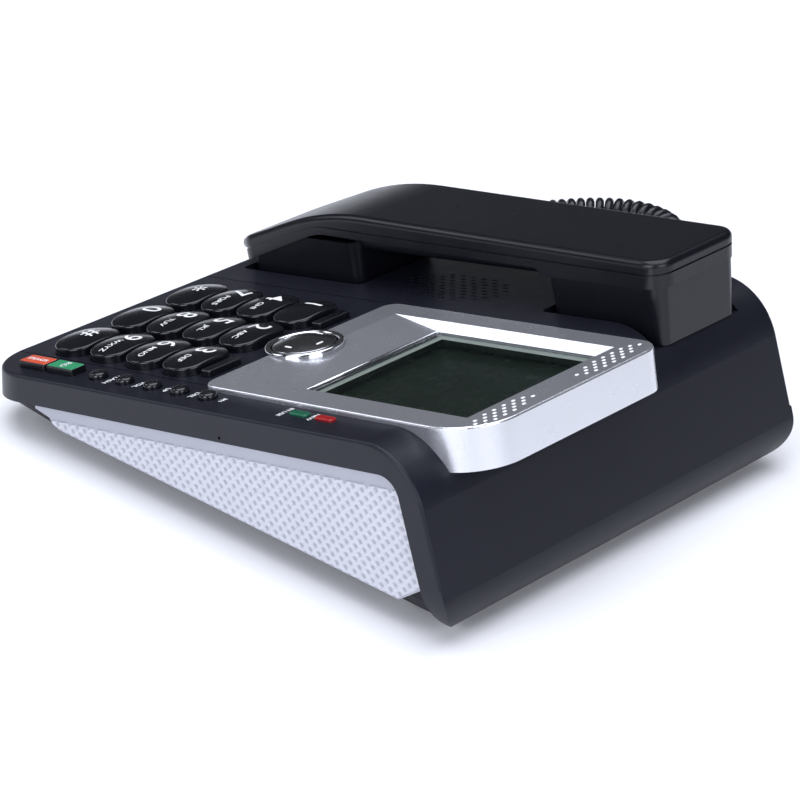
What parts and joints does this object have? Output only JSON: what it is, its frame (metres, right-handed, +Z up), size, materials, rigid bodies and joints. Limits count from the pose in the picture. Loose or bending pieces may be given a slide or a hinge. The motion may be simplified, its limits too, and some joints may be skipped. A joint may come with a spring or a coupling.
{
  "type": "corded desk telephone",
  "caption": "Corded desk telephone with a wedge-shaped base, big domed keys, a large tilted display with a round navigation pad, and a lift-off handset on a curly cord.",
  "frame": {"origin": "centre of the base's footprint box, on the plane its rubber feet stand on", "axes": "+X to the user's right, +Y towards the rear, +Z up"},
  "size_m": [0.3173, 0.2552, 0.089],
  "materials": {
    "case_plastic": "satin moulded",
    "side_panel_silver": "silver, dimpled",
    "bezel_grey": "satin silver-grey",
    "display_window": "polished clear",
    "lcd_glass": "green-grey display",
    "ring_chrome": "polished",
    "pad_satin": "satin",
    "inner_plastic": "moulded",
    "key_plastic": "semi-gloss, printed legends",
    "button_orange": "semi-gloss",
    "button_green": "semi-gloss",
    "button_black": "semi-gloss",
    "lamp_green": "translucent",
    "lamp_red": "translucent",
    "rubber_black": "matte",
    "screw_steel": "zinc plated",
    "circuit_board": "solder mask",
    "speaker_frame": "frame and cone",
    "handset_plastic": "satin moulded",
    "cord_jacket": "satin PVC",
    "plug_clear": "translucent"
  },
  "bodies": {
    "base": {"base_speaker": "speaker_frame", "case_screws": "screw_steel", "cord_lead_base": "cord_jacket", "cord_lead_handset": "cord_jacket", "cord_plug_base": "plug_clear", "display_bezel": "bezel_grey", "display_window": "display_window", "handset_cord_curl": "cord_jacket", "handset_jack": "inner_plastic", "hook_switch": "inner_plastic", "in_use_lamp": "lamp_green", "keypad_mat": "rubber_black", "lcd_module": "lcd_glass", "line_jack": "inner_plastic", "lower_case": "case_plastic", "main_board": "circuit_board", "message_lamp": "lamp_red", "navigation_ring": "ring_chrome", "rubber_feet": "rubber_black", "side_panel_left": "side_panel_silver", "side_panel_right": "side_panel_silver", "top_cover": "case_plastic"},
    "handset": {"handset_upper_shell": "handset_plastic", "handset_lower_shell": "handset_plastic", "receiver": "speaker_frame", "microphone": "speaker_frame", "handset_weight": "screw_steel", "handset_socket": "inner_plastic", "handset_screws": "screw_steel", "cord_plug_handset": "plug_clear"},
    "key_1": {"key_1": "key_plastic"},
    "key_2": {"key_2": "key_plastic"},
    "key_3": {"key_3": "key_plastic"},
    "key_4": {"key_4": "key_plastic"},
    "key_5": {"key_5": "key_plastic"},
    "key_6": {"key_6": "key_plastic"},
    "key_7": {"key_7": "key_plastic"},
    "key_8": {"key_8": "key_plastic"},
    "key_9": {"key_9": "key_plastic"},
    "key_star": {"key_star": "key_plastic"},
    "key_0": {"key_0": "key_plastic"},
    "key_hash": {"key_hash": "key_plastic"},
    "bar_key_left": {"bar_key_left": "key_plastic"},
    "bar_key_right": {"bar_key_right": "key_plastic"},
    "speaker_button": {"speaker_button": "button_orange"},
    "redial_button": {"redial_button": "button_green"},
    "function_button_1": {"function_button_1": "button_black"},
    "function_button_2": {"function_button_2": "button_black"},
    "function_button_3": {"function_button_3": "button_black"},
    "function_button_4": {"function_button_4": "button_black"},
    "function_button_5": {"function_button_5": "button_black"},
    "hook_plunger": {"hook_plunger": "case_plastic"},
    "navigation_stem": {"navigation_stem": "inner_plastic"},
    "navigation_pad": {"navigation_pad": "pad_satin"}
  },
  "joints": [
    {"name": "handset_lift", "type": "slide", "parent": "base", "child": "handset", "axis": [0, -0.2164, 0.9763], "range_m": [0, 0.1]},
    {"name": "hook_rise", "type": "slide", "parent": "base", "child": "hook_plunger", "axis": [0, -0.2164, 0.9763], "range_m": [0, 0.004]},
    {"name": "pad_tilt_front_back", "type": "hinge", "parent": "base", "child": "navigation_stem", "pos_m": [0.0323, -0.00864, 0.04192], "axis": [1, 0, 0], "range_deg": [-3, 3], "stiffness_Nm_per_rad": 0.4},
    {"name": "pad_tilt_side", "type": "hinge", "parent": "navigation_stem", "child": "navigation_pad", "pos_m": [0.0323, -0.00864, 0.04192], "axis": [0, 0.9763, 0.2164], "range_deg": [-3, 3], "stiffness_Nm_per_rad": 0.4},
    {"name": "key_1_press", "type": "slide", "parent": "base", "child": "key_1", "axis": [0, 0.2164, -0.9763], "range_m": [0, 0.0015], "stiffness_N_per_m": 300, "springref_m": -0.0012},
    {"name": "key_2_press", "type": "slide", "parent": "base", "child": "key_2", "axis": [0, 0.2164, -0.9763], "range_m": [0, 0.0015], "stiffness_N_per_m": 300, "springref_m": -0.0012},
    {"name": "key_3_press", "type": "slide", "parent": "base", "child": "key_3", "axis": [0, 0.2164, -0.9763], "range_m": [0, 0.0015], "stiffness_N_per_m": 300, "springref_m": -0.0012},
    {"name": "key_4_press", "type": "slide", "parent": "base", "child": "key_4", "axis": [0, 0.2164, -0.9763], "range_m": [0, 0.0015], "stiffness_N_per_m": 300, "springref_m": -0.0012},
    {"name": "key_5_press", "type": "slide", "parent": "base", "child": "key_5", "axis": [0, 0.2164, -0.9763], "range_m": [0, 0.0015], "stiffness_N_per_m": 300, "springref_m": -0.0012},
    {"name": "key_6_press", "type": "slide", "parent": "base", "child": "key_6", "axis": [0, 0.2164, -0.9763], "range_m": [0, 0.0015], "stiffness_N_per_m": 300, "springref_m": -0.0012},
    {"name": "key_7_press", "type": "slide", "parent": "base", "child": "key_7", "axis": [0, 0.2164, -0.9763], "range_m": [0, 0.0015], "stiffness_N_per_m": 300, "springref_m": -0.0012},
    {"name": "key_8_press", "type": "slide", "parent": "base", "child": "key_8", "axis": [0, 0.2164, -0.9763], "range_m": [0, 0.0015], "stiffness_N_per_m": 300, "springref_m": -0.0012},
    {"name": "key_9_press", "type": "slide", "parent": "base", "child": "key_9", "axis": [0, 0.2164, -0.9763], "range_m": [0, 0.0015], "stiffness_N_per_m": 300, "springref_m": -0.0012},
    {"name": "key_star_press", "type": "slide", "parent": "base", "child": "key_star", "axis": [0, 0.2164, -0.9763], "range_m": [0, 0.0015], "stiffness_N_per_m": 300, "springref_m": -0.0012},
    {"name": "key_0_press", "type": "slide", "parent": "base", "child": "key_0", "axis": [0, 0.2164, -0.9763], "range_m": [0, 0.0015], "stiffness_N_per_m": 300, "springref_m": -0.0012},
    {"name": "key_hash_press", "type": "slide", "parent": "base", "child": "key_hash", "axis": [0, 0.2164, -0.9763], "range_m": [0, 0.0015], "stiffness_N_per_m": 300, "springref_m": -0.0012},
    {"name": "bar_key_left_press", "type": "slide", "parent": "base", "child": "bar_key_left", "axis": [0, 0.2164, -0.9763], "range_m": [0, 0.0015], "stiffness_N_per_m": 300, "springref_m": -0.0012},
    {"name": "bar_key_right_press", "type": "slide", "parent": "base", "child": "bar_key_right", "axis": [0, 0.2164, -0.9763], "range_m": [0, 0.0015], "stiffness_N_per_m": 300, "springref_m": -0.0012},
    {"name": "speaker_button_press", "type": "slide", "parent": "base", "child": "speaker_button", "axis": [0, 0.2164, -0.9763], "range_m": [0, 0.0015], "stiffness_N_per_m": 300, "springref_m": -0.0012},
    {"name": "redial_button_press", "type": "slide", "parent": "base", "child": "redial_button", "axis": [0, 0.2164, -0.9763], "range_m": [0, 0.0015], "stiffness_N_per_m": 300, "springref_m": -0.0012},
    {"name": "function_button_1_press", "type": "slide", "parent": "base", "child": "function_button_1", "axis": [0, 0.2164, -0.9763], "range_m": [0, 0.0015], "stiffness_N_per_m": 300, "springref_m": -0.0012},
    {"name": "function_button_2_press", "type": "slide", "parent": "base", "child": "function_button_2", "axis": [0, 0.2164, -0.9763], "range_m": [0, 0.0015], "stiffness_N_per_m": 300, "springref_m": -0.0012},
    {"name": "function_button_3_press", "type": "slide", "parent": "base", "child": "function_button_3", "axis": [0, 0.2164, -0.9763], "range_m": [0, 0.0015], "stiffness_N_per_m": 300, "springref_m": -0.0012},
    {"name": "function_button_4_press", "type": "slide", "parent": "base", "child": "function_button_4", "axis": [0, 0.2164, -0.9763], "range_m": [0, 0.0015], "stiffness_N_per_m": 300, "springref_m": -0.0012},
    {"name": "function_button_5_press", "type": "slide", "parent": "base", "child": "function_button_5", "axis": [0, 0.2164, -0.9763], "range_m": [0, 0.0015], "stiffness_N_per_m": 300, "springref_m": -0.0012}
  ],
  "couplings": [
    {"joint": "hook_rise", "follows": "handset_lift", "ratio": 0.04}
  ]
}
